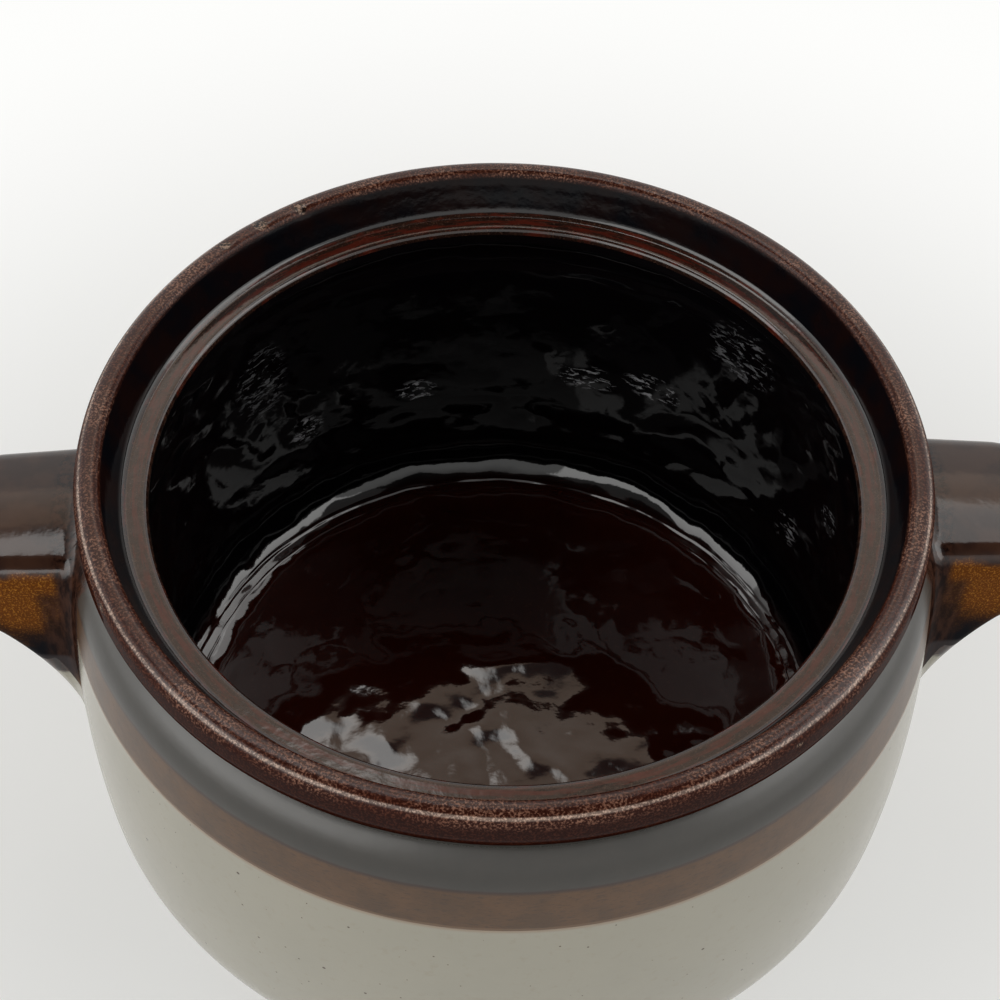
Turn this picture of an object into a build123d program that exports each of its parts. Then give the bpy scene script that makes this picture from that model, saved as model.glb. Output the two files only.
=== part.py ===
from build123d import *

import os
from math import asin, atan, cos, degrees, sin, sqrt

# Stoneware bean pot: a wheel-turned body with two solid lug handles, luted on, under three glazes.
# Millimetres. +Z is up, the Z axis is the axis of the pot, and the origin is the centre of the foot on
# the surface that the pot stands on. The handles point along +X (right) and -X (left).
# A point of a half section is given as (radius, height).

# --- the pot as glazed and fired ---
GLAZE = 0.5  # thickness of every glaze coat
HEIGHT = 112.0  # foot to crown of the rim
RIM_RADIUS = 85.2  # widest point of the rolled rim
BELLY_RADIUS = 91.4  # widest point of the body
BELLY_LEVEL = 46.0  # height of that widest point
BELLY_SWEEP = 300.0  # radius of the long curve of the wall, seen from the side
WALL = 7.0  # thickness of the clay wall

# --- foot and lower wall, in bare clay ---
FOOT_INNER = 68.0  # the ring that the pot stands on
FOOT_OUTER = 75.0
FOOT_BEVEL = 1.2
FOOT_RECESS = 2.5  # hollow under the base, inside the foot ring
LOWER_CURVE = 40.0  # radius that turns the wall in to the foot
LOWER_CURVE_TOP = 30.0  # height at which that curve meets the belly

# --- shoulder, neck and rolled rim ---
SHOULDER_LEVEL = 92.4  # where the wall breaks into the shoulder
NECK = (80.8, 100.6)  # groove under the rim
RIM_LEVEL = 106.4  # height of the rim's widest point
RIM_LEAN = 0.4  # how far its outer face leans in from there to the crown
RIM_CROWN = 4.2  # the crown runs this far in from the widest point
RIM_OUTER_ROLL = 2.6  # rounding of the crown's outer and inner edges
RIM_INNER_ROLL = 1.3

# --- the ledge that a lid would sit on, and the mouth ---
LEDGE_LEVEL = HEIGHT - 9.3 - GLAZE
LEDGE_OUTER = 76.6
LEDGE_CORNER = 1.5  # rounding where the ledge meets the recess wall
LEDGE_INNER = 71.3 + GLAZE  # radius of the mouth
LIP_DEPTH = 3.8  # thickness of the ledge at its inner edge
LIP_TOP_ROUND = 0.7
LIP_UNDER_ROUND = 1.2

# --- the hollow inside ---
FLOOR_LEVEL = 8.5
FLOOR_RADIUS = 80.5  # where the lines of floor and wall would cross
FLOOR_CORNER = 16.0  # radius between them
HOLLOW_LEVELS = (32.5, 52.0, 80.0)  # the wall follows the belly between the first and last of these
UNDER_SHOULDER = (80.0, 91.5)  # the hollow turns in to the mouth through this point

# --- where one glaze ends and the next begins ---
DIP_LINE = 80.7  # the brown coat above, the white coat below
HANDLE_DIP_LINE = 66.0  # the brown coat runs lower over the handles
FOOT_LINE = 3.0  # the foot below this is wiped bare
LINER_LINE = 101.0  # the liner ends inside the mouth

# --- the lug handles, as clay ---
HANDLE_REACH = 115.5  # axis of the pot to the handle's tip
HANDLE_HALF_WIDTH = 17.8
HANDLE_TAPER = 1.4  # each side draws in by this much from root to tip
HANDLE_END_ROUND = 12.5
HANDLE_TOP = 96.6
HANDLE_CROWN = 60.0  # radius of the top, from side to side
HANDLE_DROOP = 2.0  # how far the top falls from the wall to the tip
HANDLE_SWEEP = 61.0  # hollow curve of the underside, from the wall up to the tip
HANDLE_SWEEP_CENTRE = (150.0, 34.0)
HANDLE_HEEL = 39.0  # height of the lowest clay of the handle, inside the wall
HANDLE_ROOT = 80.0  # the lug is drawn from inside the wall, then cut to it
HANDLE_TOP_EDGE = 6.0  # rounding of its long edges, along the top and the underside
HANDLE_LOW_EDGE = 3.2
LUTING_CORNER = 4.0  # radius smoothed into the corner between handle and wall
LUTING_SLIP = 1.2  # thickness of the slip that joins the handle to the wall

# --- room for construction, larger than the pot ---
SPACE = 4 * RIM_RADIUS
BEYOND = 5.0  # a cutter or blank runs this far past what it cuts
FOOTPRINT_MARGIN = 0.3  # the coat round a handle ends this far outside its smoothed corner
TOUCHING = 0.001  # how near a point is to a surface that it lies on
LEVEL_ENOUGH = 0.99  # an edge steeper than this share of upright is upright
CRUMB = 0.01  # cubic millimetres: less than this is left over from a cut


def belly_point(level, sweep=BELLY_SWEEP, radius=BELLY_RADIUS - GLAZE):
    """A point of the long side curve at a height."""
    rise = level - BELLY_LEVEL
    return (radius - sweep + sqrt(sweep**2 - rise**2), level)


def nearest_vertex(sketch, point):
    return sketch.vertices().sort_by_distance(point)[0]


def outside_face():
    """Half section of the pot's outside, filled in to the axis, with the mouth plugged at the ledge."""
    belly_low = belly_point(LOWER_CURVE_TOP)
    belly_high = belly_point(SHOULDER_LEVEL)
    lean = asin((BELLY_LEVEL - LOWER_CURVE_TOP) / BELLY_SWEEP)
    centre = Vector(*belly_low) - LOWER_CURVE * Vector(cos(lean), -sin(lean))
    drop = centre.Y - FOOT_BEVEL
    foot_edge = (centre.X + sqrt(LOWER_CURVE**2 - drop**2), FOOT_BEVEL)
    half_turn = (lean + asin(drop / LOWER_CURVE)) / 2
    lower_mid = centre + LOWER_CURVE * Vector(cos(half_turn), -sin(half_turn))
    shoulder_slope = Vector(-(SHOULDER_LEVEL - BELLY_LEVEL), BELLY_SWEEP).normalized()
    rim, crown = RIM_RADIUS - GLAZE, HEIGHT - GLAZE
    rim_side, crown_out, crown_in = (rim, RIM_LEVEL), (rim - RIM_LEAN, crown), (rim - RIM_CROWN, crown)
    ledge = (LEDGE_OUTER, LEDGE_LEVEL)
    with BuildSketch() as sketch:
        with BuildLine():
            Polyline(
                (0, FOOT_RECESS),
                (FOOT_INNER - FOOT_BEVEL, FOOT_RECESS),
                (FOOT_INNER, 0),
                (FOOT_OUTER, 0),
                foot_edge,
            )
            ThreePointArc(foot_edge, (lower_mid.X, lower_mid.Y), belly_low)
            ThreePointArc(belly_low, belly_point(BELLY_LEVEL), belly_high)
            TangentArc(belly_high, NECK, tangent=shoulder_slope)
            TangentArc(rim_side, NECK, tangent=(0, -1))
            Polyline(rim_side, crown_out, crown_in, ledge, (0, LEDGE_LEVEL), (0, FOOT_RECESS))
        make_face()
        fillet(nearest_vertex(sketch, crown_out), RIM_OUTER_ROLL)
        fillet(nearest_vertex(sketch, crown_in), RIM_INNER_ROLL)
        fillet(nearest_vertex(sketch, ledge), LEDGE_CORNER)
    return sketch.face()


def cavity_face():
    """Half section of the hollow inside the clay, carried up through the mouth."""
    inner = BELLY_RADIUS - GLAZE - WALL
    wall = [belly_point(level, BELLY_SWEEP - WALL, inner) for level in HOLLOW_LEVELS]
    corner, lip = (FLOOR_RADIUS, FLOOR_LEVEL), (LEDGE_INNER, LEDGE_LEVEL - LIP_DEPTH)
    with BuildSketch() as sketch:
        with BuildLine():
            Polyline((0, HEIGHT), (0, FLOOR_LEVEL), corner, wall[0])
            ThreePointArc(*wall)
            ThreePointArc(wall[-1], UNDER_SHOULDER, lip)
            Polyline(lip, (LEDGE_INNER, HEIGHT), (0, HEIGHT))
        make_face()
        fillet(nearest_vertex(sketch, corner), FLOOR_CORNER)
        fillet(nearest_vertex(sketch, lip), LIP_UNDER_ROUND)
    return sketch.face()


def clay_face(outside, cavity):
    """Half section of the clay body, with the upper edge of the lip rounded."""
    with BuildSketch() as sketch:
        add(outside)
        add(cavity, mode=Mode.SUBTRACT)
        fillet(nearest_vertex(sketch, (LEDGE_INNER, LEDGE_LEVEL)), LIP_TOP_ROUND)
    return sketch.face()


def spin(face):
    """Turns a half section about the pot's axis."""
    outline = [
        Edge.make_line(edge @ 0, edge @ 1)
        if edge.geom_type == GeomType.LINE
        else Edge.make_three_point_arc(edge @ 0, edge @ 0.5, edge @ 1)
        for edge in face.outer_wire().order_edges()
    ]
    return revolve(Rot(90, 0, 0) * Face(Wire(outline)), Axis.Z)


def above(level):
    return Pos(0, 0, level) * Box(SPACE, SPACE, SPACE, align=(Align.CENTER, Align.CENTER, Align.MIN))


def below(level):
    return Pos(0, 0, level) * Box(SPACE, SPACE, SPACE, align=(Align.CENTER, Align.CENTER, Align.MAX))


def band(low, high):
    """A strip of the half section between two heights, on the outer side of the axis."""
    return Pos(0, low) * Rectangle(SPACE, high - low, align=(Align.MIN, Align.MIN))


def grow(face, amount):
    """A half section grown by a coat, and trimmed back to the axis."""
    return (offset(face, amount, kind=Kind.ARC) & band(-BEYOND, 2 * HEIGHT)).faces()[0]


def lug_side(coat):
    """The handle from the side, with its top left high: a hollow curve rises under it to the tip."""
    x, z = HANDLE_SWEEP_CENTRE
    sweep = HANDLE_SWEEP - coat
    reach = HANDLE_REACH + coat
    top, heel = HANDLE_TOP + coat + BEYOND, HANDLE_HEEL - coat

    def under(radius):
        return (radius, z + sqrt(sweep**2 - (x - radius) ** 2))

    heel_point = (x - sqrt(sweep**2 - (heel - z) ** 2), heel)
    middle = (reach + heel_point[0]) / 2
    with BuildSketch(Plane.XZ) as side:
        with BuildLine():
            ThreePointArc(heel_point, under(middle), under(reach))
            Polyline(under(reach), (reach, top), (HANDLE_ROOT, top), (HANDLE_ROOT, heel), heel_point)
        make_face()
    return side.sketch


def crowned_top(coat):
    """The space under the handle's top, which is arched from side to side and falls a little outwards."""
    slope = degrees(atan(HANDLE_DROOP / (HANDLE_REACH - HANDLE_ROOT)))
    crown = Rot(0, 90 + slope, 0) * Cylinder(HANDLE_CROWN + coat, SPACE)
    return Pos(HANDLE_ROOT, 0, HANDLE_TOP - HANDLE_CROWN) * crown


def lug(coat=0.0):
    """One handle, drawn through the wall: it narrows a little to a broadly rounded end."""
    root, tip = HANDLE_ROOT, HANDLE_REACH + coat
    wide, narrow = HANDLE_HALF_WIDTH + coat, HANDLE_HALF_WIDTH - HANDLE_TAPER + coat
    plan = make_face(Polyline((root, -wide), (tip, -narrow), (tip, narrow), (root, wide), (root, -wide)))
    blank = extrude(lug_side(coat), amount=wide + BEYOND, both=True)
    body = (extrude(plan, amount=HEIGHT) & blank & crowned_top(coat)).solid()
    tip_edges = body.faces().sort_by(Axis.X)[-1].edges().filter_by(Axis.Z)
    body = fillet(tip_edges, HANDLE_END_ROUND + coat).solid()
    root_edges = body.faces().sort_by(Axis.X)[0].edges()
    heel_edges = body.faces().sort_by(Axis.Z)[0].edges()
    long_edges = [e for e in body.edges() if e not in root_edges + heel_edges and not is_smooth(e)]
    top = body.faces().sort_by(Axis.Z)[-1]
    top_edges = [e for e in long_edges if top.distance_to(e @ 0.5) < TOUCHING]
    low_points = [e @ 0.5 for e in long_edges if e not in top_edges]
    body = fillet(top_edges, HANDLE_TOP_EDGE + coat).solid()
    low_edges = [e for e in body.edges() if any(e.distance_to(point) < TOUCHING for point in low_points)]
    return fillet(low_edges, HANDLE_LOW_EDGE + coat)


def is_smooth(edge):
    """Whether an edge is only the seam where a flat side runs into the rounded end."""
    return edge.geom_type == GeomType.LINE and abs((edge % 0.5).Z) > LEVEL_ENOUGH


def near_lug():
    """The space round one handle, from inside the wall to beyond the tip."""
    low = HANDLE_HEEL - 3 * BEYOND
    size = (HANDLE_REACH - HANDLE_ROOT + 2 * BEYOND, 4 * HANDLE_HALF_WIDTH, HEIGHT - low)
    return Pos(HANDLE_ROOT, 0, low) * Box(*size, align=(Align.MIN, Align.CENTER, Align.MIN))


def wall_with_lug(wall, coat=0.0):
    """The wall near one handle and the handle as one form, the corner between them smoothed."""
    handle = lug(coat)
    union = (wall + handle).solid()
    seam = [
        edge
        for edge in union.edges()
        if (edge @ 0.5).X > HANDLE_ROOT
        and wall.distance_to(edge @ 0.5) < TOUCHING
        and handle.distance_to(edge @ 0.5) < TOUCHING
    ]
    return union.fillet(LUTING_CORNER - coat, seam) & near_lug()


def main():
    outside, cavity = outside_face(), cavity_face()
    clay = clay_face(outside, cavity)
    coat = (offset(clay, GLAZE, kind=Kind.ARC) - clay) & band(-BEYOND, 2 * HEIGHT)
    outer_coat = coat - (cavity & band(0, LINER_LINE))
    wall = spin(outside)
    coated_wall = spin(grow(outside, GLAZE))
    slip_depth = spin(grow(outside, LUTING_SLIP))
    bare = wall_with_lug(wall)
    rooted_lug = (bare - (wall & near_lug())).solids().sort_by(SortBy.VOLUME)[-1]
    footprint = lug(LUTING_CORNER + FOOTPRINT_MARGIN)
    lug_coat = (wall_with_lug(coated_wall, GLAZE) - bare) & footprint

    right = {
        "handle": rooted_lug - slip_depth,
        "handle_luting_slip": rooted_lug & slip_depth,
        "handle_brown_glaze": lug_coat & above(HANDLE_DIP_LINE),
        "handle_white_glaze": lug_coat & below(HANDLE_DIP_LINE),
    }
    brown = spin((outer_coat & band(DIP_LINE, 2 * HEIGHT)).faces()[0])
    white = spin((outer_coat & band(FOOT_LINE, DIP_LINE)).faces()[0])
    pieces = {
        "pot_body": spin(clay),
        "liner_glaze": spin((coat & cavity & band(0, LINER_LINE)).faces()[0]),
        "brown_glaze": brown - footprint - mirror(footprint, Plane.YZ),
        "white_glaze": white - footprint - mirror(footprint, Plane.YZ),
    }
    for name, piece in right.items():
        pieces["right_" + name] = piece
        pieces["left_" + name] = mirror(piece, Plane.YZ)

    os.makedirs("parts", exist_ok=True)
    for name, piece in pieces.items():
        solids = [s for s in piece.solids() if s.volume > CRUMB]
        export_step(solids[0] if len(solids) == 1 else Compound(solids), f"parts/{name}.step")
        print(name, "solids", len(solids), "volume", round(sum(s.volume for s in solids)))


main()
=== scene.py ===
# %% [markdown]
# # A stoneware bean pot in three glazes
#
# This lesson dresses a finished CAD model of a bean pot: a wheel-turned body with two solid lug
# handles, a dark liner glaze inside, a brown slip glaze from the ledge down over the shoulder, and a
# white glaze below it. The CAD model is loaded first and is never moved. Every piece that is made here
# lies where the CAD says, in metres, with the foot at height zero and the handles along X.

# %% Load the frame
from math import atan, ceil, cos, pi, radians, sin

import bmesh
import bpy
import numpy as np
from mathutils import Matrix, Vector
from mathutils.bvhtree import BVHTree
from mathutils.kdtree import KDTree


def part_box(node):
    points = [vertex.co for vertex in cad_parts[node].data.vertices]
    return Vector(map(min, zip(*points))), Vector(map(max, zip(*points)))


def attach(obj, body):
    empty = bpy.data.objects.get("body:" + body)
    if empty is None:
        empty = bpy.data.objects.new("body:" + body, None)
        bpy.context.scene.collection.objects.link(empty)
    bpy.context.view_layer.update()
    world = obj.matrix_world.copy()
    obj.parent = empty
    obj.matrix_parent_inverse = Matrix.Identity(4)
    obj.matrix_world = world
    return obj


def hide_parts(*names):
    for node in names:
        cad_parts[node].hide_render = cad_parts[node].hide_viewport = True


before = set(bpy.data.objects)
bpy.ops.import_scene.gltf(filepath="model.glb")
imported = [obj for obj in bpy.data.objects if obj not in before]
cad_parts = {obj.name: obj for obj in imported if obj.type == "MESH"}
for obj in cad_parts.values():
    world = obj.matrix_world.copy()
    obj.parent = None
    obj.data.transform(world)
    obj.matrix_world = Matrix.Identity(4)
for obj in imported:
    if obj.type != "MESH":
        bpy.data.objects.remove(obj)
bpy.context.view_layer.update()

MM = 0.001
crown_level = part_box("brown_glaze")[1].z
dip_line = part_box("brown_glaze")[0].z
handle_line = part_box("right_handle_brown_glaze")[0].z
print("crown at", round(crown_level / MM, 1), "mm, glazes meet at", round(dip_line / MM, 1), "mm")

# %% [markdown]
# ## The camera
#
# A camera comes first, because it decides what has to be finished best. This one stands in front of
# the pot and high above it, so it looks into the mouth. Its place is given the way a photographer
# would say it: how far from the middle of the rim, how high, how far round, and how it is tilted.

# %% Set up the camera
LENS_DISTANCE = 395.6 * MM
LENS_ELEVATION = radians(49.56)
LENS_TURN = radians(-3.6)
LOOK_DOWN = radians(51.13)
LOOK_ASIDE = radians(0.18)
LENS_ROLL = radians(1.87)


def rotation(angle, axis):
    return Matrix.Rotation(angle, 4, axis)


def placed(name, data):
    """A new object in the scene."""
    thing = bpy.data.objects.new(name, data)
    bpy.context.scene.collection.objects.link(thing)
    return thing


camera_data = bpy.data.cameras.new("lens")
camera_data.lens = 72
camera_data.sensor_width = 36
camera_data.clip_start = 0.01
camera = placed("camera", camera_data)
rim_middle = Vector((0, 0, crown_level))
arm = rotation(LENS_TURN, "Z") @ Vector((0, -cos(LENS_ELEVATION), sin(LENS_ELEVATION)))
aim = rotation(LENS_TURN + LOOK_ASIDE, "Z") @ rotation(pi / 2 - LOOK_DOWN, "X")
aim = aim @ rotation(LENS_ROLL, "Z")
camera.matrix_world = Matrix.Translation(rim_middle + LENS_DISTANCE * arm) @ aim
bpy.context.scene.camera = camera
print("camera at", [round(v, 3) for v in camera.matrix_world.translation])

# %% [markdown]
# ## Writing node trees as sums
#
# Geometry Nodes and materials are both trees of nodes, and long chains of Math nodes are hard to read
# as boxes. The small class below wraps one socket and gives it the usual signs, so that `1 - mask` or
# `height * 0.5` in Python adds the Math node that does it. A second class holds the tree and has one
# method that adds any other node: its type, its settings and then what goes into its sockets.


# %% A socket that can be added and multiplied
class Wire:
    """An output socket that takes part in sums."""

    def __init__(self, bench, socket):
        self.bench = bench
        self.socket = socket

    def sum(self, operation, *others):
        inputs = dict(enumerate([self, *others]))
        return self.bench.node("ShaderNodeMath", {"operation": operation}, inputs)

    def __add__(self, other):
        return self.sum("ADD", other)

    def __sub__(self, other):
        return self.sum("SUBTRACT", other)

    def __mul__(self, other):
        return self.sum("MULTIPLY", other)

    def __truediv__(self, other):
        return self.sum("DIVIDE", other)

    def __pow__(self, other):
        return self.sum("POWER", other)

    def __rsub__(self, other):
        return self.bench.number(other).sum("SUBTRACT", self)

    def __rtruediv__(self, other):
        return self.bench.number(other).sum("DIVIDE", self)

    __radd__ = __add__
    __rmul__ = __mul__

    def out(self, name):
        """Another output of the same node."""
        return Wire(self.bench, self.socket.node.outputs[name])


class Bench:
    """A node tree and the ways to add to it."""

    def __init__(self, tree):
        self.tree = tree

    def node(self, kind, settings=None, inputs=None, output=0):
        """Adds a node: its settings are made first, then its inputs get numbers or wires."""
        node = self.tree.nodes.new(kind)
        for name, value in (settings or {}).items():
            setattr(node, name, value)
        for name, value in (inputs or {}).items():
            if isinstance(value, Wire):
                self.tree.links.new(value.socket, node.inputs[name])
            else:
                node.inputs[name].default_value = value
        return Wire(self, node.outputs[output]) if node.outputs else node

    def number(self, value):
        return self.node("ShaderNodeMath", {"operation": "ADD"}, {0: value, 1: 0})

    def step(self, value, low, high):
        """A smooth step that goes from 0 to 1 as the value goes from low to high."""
        settings = {"interpolation_type": "SMOOTHSTEP"}
        ends = {"Value": value, "From Min": low, "From Max": high}
        return self.node("ShaderNodeMapRange", settings, ends)

    def mix(self, share, first, second):
        """The first colour where the share is 0 and the second where it is 1."""
        inputs = {0: share, 6: first, 7: second}
        return self.node("ShaderNodeMix", {"data_type": "RGBA"}, inputs, 2)

    def layers(self, colour, *others):
        """A colour with others laid over it, each given with its share."""
        for share, other in others:
            colour = self.mix(share, colour, other)
        return colour

    def parts(self, vector):
        """The X, Y and Z of a vector."""
        split = self.node("ShaderNodeSeparateXYZ", None, {0: vector})
        return split, split.out("Y"), split.out("Z")

    def vector(self, x, y, z):
        return self.node("ShaderNodeCombineXYZ", None, {0: x, 1: y, 2: z})

    def vectors(self, operation, first, second, output=0):
        """Any of the sums that take two vectors."""
        inputs = {0: first, 1: second}
        return self.node("ShaderNodeVectorMath", {"operation": operation}, inputs, output)

    def scaled(self, vector, amount):
        return self.node("ShaderNodeVectorMath", {"operation": "SCALE"}, {0: vector, "Scale": amount})


print("benches are ready")

# %% [markdown]
# ## The half section of a turned piece
#
# Everything round on this pot was turned, so its whole shape is in its half section: radius against
# height. The CAD model already holds that section for each coat of glaze, as rings of points. Cutting
# a CAD coat with a plane through the axis says in which order the rings follow each other, which saves
# drawing the section twice and keeps each coat exactly where the CAD has it.
#
# The CAD mesh also knows which way its faces look at every ring. With that, the straight pieces
# between two rings can be bent into the curve that the CAD really has, so no facets show in the gloss.

# %% Read the rings of a coat
CUT_TURN = radians(4.3)
WELD = 0.001 * MM
GLAZE_DEPTH = 0.5 * MM
NEAR_RING = 0.12 * MM
IN_SECTION = 0.99


def rings_of(node):
    """Every ring of a turned node: its (radius, height), and the directions that its faces look in."""
    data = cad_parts[node].data
    rings = {}
    for corner, normal in zip(data.loops, data.corner_normals):
        place = data.vertices[corner.vertex_index].co
        out = place.xy.normalized()
        look = Vector((normal.vector.xy.dot(out), 0, normal.vector.z))
        looks = rings.setdefault((round(place.xy.length, 6), round(place.z, 6)), [])
        if look.length > IN_SECTION and all(look.dot(other) < IN_SECTION for other in looks):
            looks.append(look.normalized())
    return rings


def cut_line(node):
    """The points where a plane through the axis cuts a node, in order, as (radius, 0, height)."""
    mesh = bmesh.new()
    mesh.from_mesh(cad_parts[node].data)
    bmesh.ops.remove_doubles(mesh, verts=mesh.verts, dist=WELD)
    across = Vector((cos(CUT_TURN), sin(CUT_TURN), 0))
    along = Vector((sin(CUT_TURN), -cos(CUT_TURN), 0))
    everything = mesh.verts[:] + mesh.edges[:] + mesh.faces[:]
    ends = {"clear_inner": True, "clear_outer": True}
    bmesh.ops.bisect_plane(mesh, geom=everything, plane_co=(0, 0, 0), plane_no=across, **ends)
    outline = mesh.verts[:] + mesh.edges[:]
    bmesh.ops.bisect_plane(mesh, geom=outline, plane_co=(0, 0, 0), plane_no=along, clear_inner=True)
    ends = [v for v in mesh.verts if len(v.link_edges) == 1]
    here = min(ends or mesh.verts, key=lambda v: v.co.z)
    line, left = [], set(mesh.verts)
    while here:
        left.remove(here)
        line.append(Vector((here.co.dot(along), 0, here.co.z)))
        here = next((e.other_vert(here) for e in here.link_edges if e.other_vert(here) in left), None)
    mesh.free()
    return line, not ends


print("rings:", {node: len(rings_of(node)) for node in ("liner_glaze", "brown_glaze", "white_glaze")})

# %% [markdown]
# Two neighbouring rings and the directions of their faces give a curve between them: it leaves the
# first ring square to the first direction and meets the second square to the second. Where the curve
# turns fast, as on the rim, it gets more points. A long run, as across the floor, stays straight.
#
# Each point also carries an arrow, `lift`, that points out of the clay. It is zero on the side that
# lies against the clay, so only the side that shows will be shaped further.

# %% Bend the section between its rings
LONGEST_STEP = 0.85
TURN_A_STEP = radians(9)
FLAT_RUN = 20 * MM
clay_mesh = bmesh.new()
clay_mesh.from_mesh(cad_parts["pot_body"].data)
clay_surface = BVHTree.FromBMesh(clay_mesh)
clay_mesh.free()


def tangent(looks, chord):
    """The direction of the curve at a ring: square to the face direction that suits the chord."""
    look = min(looks or [chord.cross(Vector((0, 1, 0)))], key=lambda one: abs(one.dot(chord)))
    side = Vector((look.z, 0, -look.x)).normalized()
    return side if side.dot(chord) > 0 else -side


def bent(start, end, looks_start, looks_end, longest):
    """Points from start up to end on the curve between two rings, without the end."""
    chord = end - start
    leave, arrive = tangent(looks_start, chord), tangent(looks_end, chord)
    if chord.length > FLAT_RUN:
        leave = arrive = chord.normalized()
    count = max(1, ceil(chord.length / longest), ceil(leave.angle(arrive, 0) / TURN_A_STEP))
    for step in range(count):
        t = step / count
        straight = start.lerp(end, t)
        swing = (1 - t) * leave - t * arrive + (2 * t - 1) * chord / chord.length
        yield straight + t * (1 - t) * chord.length * swing


def lift_at(point, course):
    """An arrow out of the clay, which shrinks to nothing on the side against the clay."""
    at_cut = Vector((point.x * sin(CUT_TURN), -point.x * cos(CUT_TURN), point.z))
    nearest, _, _, distance = clay_surface.find_nearest(at_cut)
    away = at_cut - nearest
    radial = away.dot(at_cut - Vector((0, 0, point.z))) / max(point.x, WELD)
    arrow = Vector((course.z, 0, -course.x))
    side = 1 if arrow.x * radial + arrow.z * away.z > 0 else -1
    return side * min(1, max(0, 2 * distance / GLAZE_DEPTH - 1)) * arrow


def half_section(node, longest=LONGEST_STEP):
    """A mesh of points in order round the half section of a coat, at most longest mm apart."""
    rings = rings_of(node)
    tree = KDTree(len(rings))
    for place, (radius, height) in enumerate(rings):
        tree.insert((radius, 0, height), place)
    tree.balance()
    looks = list(rings.values())
    line = []
    cut, closed = cut_line(node)
    for point in cut:
        ring, place, distance = tree.find(point)
        if distance > NEAR_RING and point.x > WELD:
            continue
        found = (point, [Vector((0, 0, 1))]) if point.x <= WELD else (ring.copy(), looks[place])
        if not line or (found[0] - line[-1][0]).length > WELD:
            line.append(found)
    if closed:
        line.append(line[0])
    points = []
    for (start, start_looks), (end, end_looks) in zip(line, line[1:]):
        points.extend(bent(start, end, start_looks, end_looks, longest * MM))
    points.append(line[-1][0])
    mesh = bpy.data.meshes.new(node + "_section")
    mesh.from_pydata(points, [(k, k + 1) for k in range(len(points) - 1)], [])
    lift = mesh.attributes.new("lift", "FLOAT_VECTOR", "POINT")
    before = [points[-2] if closed else points[0], *points[:-1]]
    after = [*points[1:], points[1] if closed else points[-1]]
    for entry, point, coming, going in zip(lift.data, points, before, after):
        entry.vector = lift_at(point, (going - coming).normalized())
    length = sum((b - a).length for a, b in zip(points, points[1:]))
    print(node, "section:", len(line), "rings,", len(points), "points,", round(length / MM), "mm round")
    return mesh


# %% [markdown]
# ## A potter's wheel made of nodes
#
# The real pot was pressed in a plaster mould that turned under a template, so every coat here is
# turned too. A Geometry Nodes tree is a good wheel: it takes a half section and a number of segments,
# lays out a grid with one row for each point of the section, and swings each column of the grid round
# the axis. The same tree turns three coats, and a section that changes in the CAD changes them all.
#
# No fired glaze is quite even. The tree also pushes the surface in by a small amount that changes from
# place to place: long soft ripples where the glaze pooled, and a few dents where the rim was knocked.

# %% Build the wheel
WHEEL_INPUTS = {
    "Section": "Geometry",
    "Segments": "Int",
    "Ripple Size": "Float",
    "Ripple Depth": "Float",
    "Seed": "Float",
    "Glaze": "Material",
}
RIM_DENTS = [
    (Vector((-0.0425, 0.0690, 0.1116)), 2.4 * MM, 0.45 * MM),
    (Vector((-0.0511, 0.0640, 0.1116)), 3.0 * MM, 0.35 * MM),
    (Vector((-0.0582, 0.0575, 0.1116)), 2.2 * MM, 0.42 * MM),
    (Vector((-0.0765, -0.0362, 0.1095)), 1.5 * MM, 0.45 * MM),
    (Vector((0.0505, -0.0690, 0.1090)), 1.8 * MM, 0.35 * MM),
]


def dented(bench, place):
    """How deep the knocks in the rim are at a place."""
    depth = bench.number(0)
    for middle, reach, deep in RIM_DENTS:
        away = bench.vectors("DISTANCE", place, middle, "Value")
        depth = depth + bench.step(away, reach, 0) * deep
    return depth


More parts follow.
